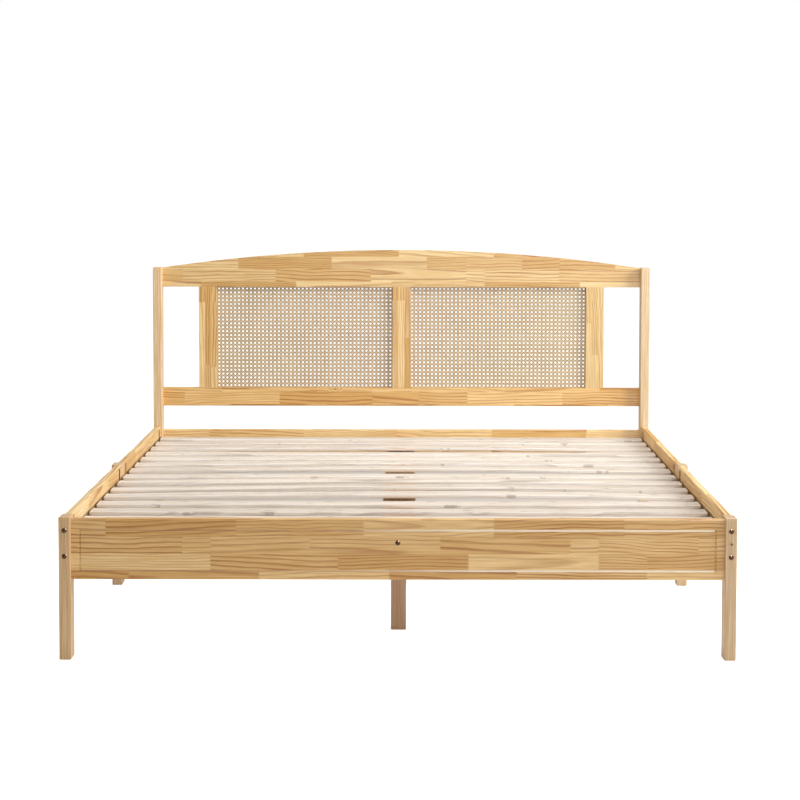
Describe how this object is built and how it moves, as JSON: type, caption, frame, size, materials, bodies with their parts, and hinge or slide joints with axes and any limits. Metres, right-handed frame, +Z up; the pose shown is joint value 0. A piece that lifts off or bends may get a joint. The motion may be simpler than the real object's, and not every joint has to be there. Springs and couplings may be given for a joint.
{
  "type": "platform bed",
  "caption": "King size platform bed frame in clear pine: arched headboard with cane webbing panels, grooved footboard, bolted side rails, slats and a centre beam on legs.",
  "frame": {"origin": "on the floor, under the middle of the whole bed", "axes": "+Z up, +Y from the foot end to the head end, +X to the right of someone who stands at the foot end"},
  "size_m": [2.024, 2.1266, 1.143],
  "materials": {
    "clear_pine": "clear satin lacquer on pine",
    "slat_pine": "bare planed pine",
    "cane": "woven natural cane",
    "dowel_beech": "fluted beech",
    "bronze_steel": "dark bronze plating",
    "zinc_steel": "zinc plating"
  },
  "bodies": {
    "root": {"barrel_nuts": "zinc_steel", "beam_bolts": "bronze_steel", "cane_beads_left": "clear_pine", "cane_beads_right": "clear_pine", "cane_panel_left": "cane", "cane_panel_right": "cane", "centre_beam": "slat_pine", "centre_leg_bolts": "zinc_steel", "centre_leg_front": "slat_pine", "centre_leg_middle": "slat_pine", "centre_leg_rear": "slat_pine", "end_board_dowels": "dowel_beech", "foot_post_left": "clear_pine", "foot_post_right": "clear_pine", "footboard_bolts": "bronze_steel", "footboard_panel": "clear_pine", "half_moon_nuts": "bronze_steel", "head_end_rail": "clear_pine", "head_end_rail_bolts": "bronze_steel", "head_post_left": "clear_pine", "head_post_right": "clear_pine", "headboard_dowels": "dowel_beech", "headboard_lower_rail": "clear_pine", "headboard_stile_centre": "clear_pine", "headboard_stile_left": "clear_pine", "headboard_stile_right": "clear_pine", "headboard_top_rail": "clear_pine", "ledger_screws": "zinc_steel", "mid_leg_left": "clear_pine", "mid_leg_right": "clear_pine", "mid_leg_studs": "zinc_steel", "rail_bolts": "bronze_steel", "rail_dowels": "dowel_beech", "side_rail_left_front": "clear_pine", "side_rail_left_rear": "clear_pine", "side_rail_right_front": "clear_pine", "side_rail_right_rear": "clear_pine", "slat_01": "slat_pine", "slat_02": "slat_pine", "slat_03": "slat_pine", "slat_04": "slat_pine", "slat_05": "slat_pine", "slat_06": "slat_pine", "slat_07": "slat_pine", "slat_08": "slat_pine", "slat_09": "slat_pine", "slat_10": "slat_pine", "slat_11": "slat_pine", "slat_12": "slat_pine", "slat_13": "slat_pine", "slat_14": "slat_pine", "slat_15": "slat_pine", "slat_ledger_left_front": "slat_pine", "slat_ledger_left_rear": "slat_pine", "slat_ledger_right_front": "slat_pine", "slat_ledger_right_rear": "slat_pine", "slat_screws": "zinc_steel"}
  },
  "joints": []
}
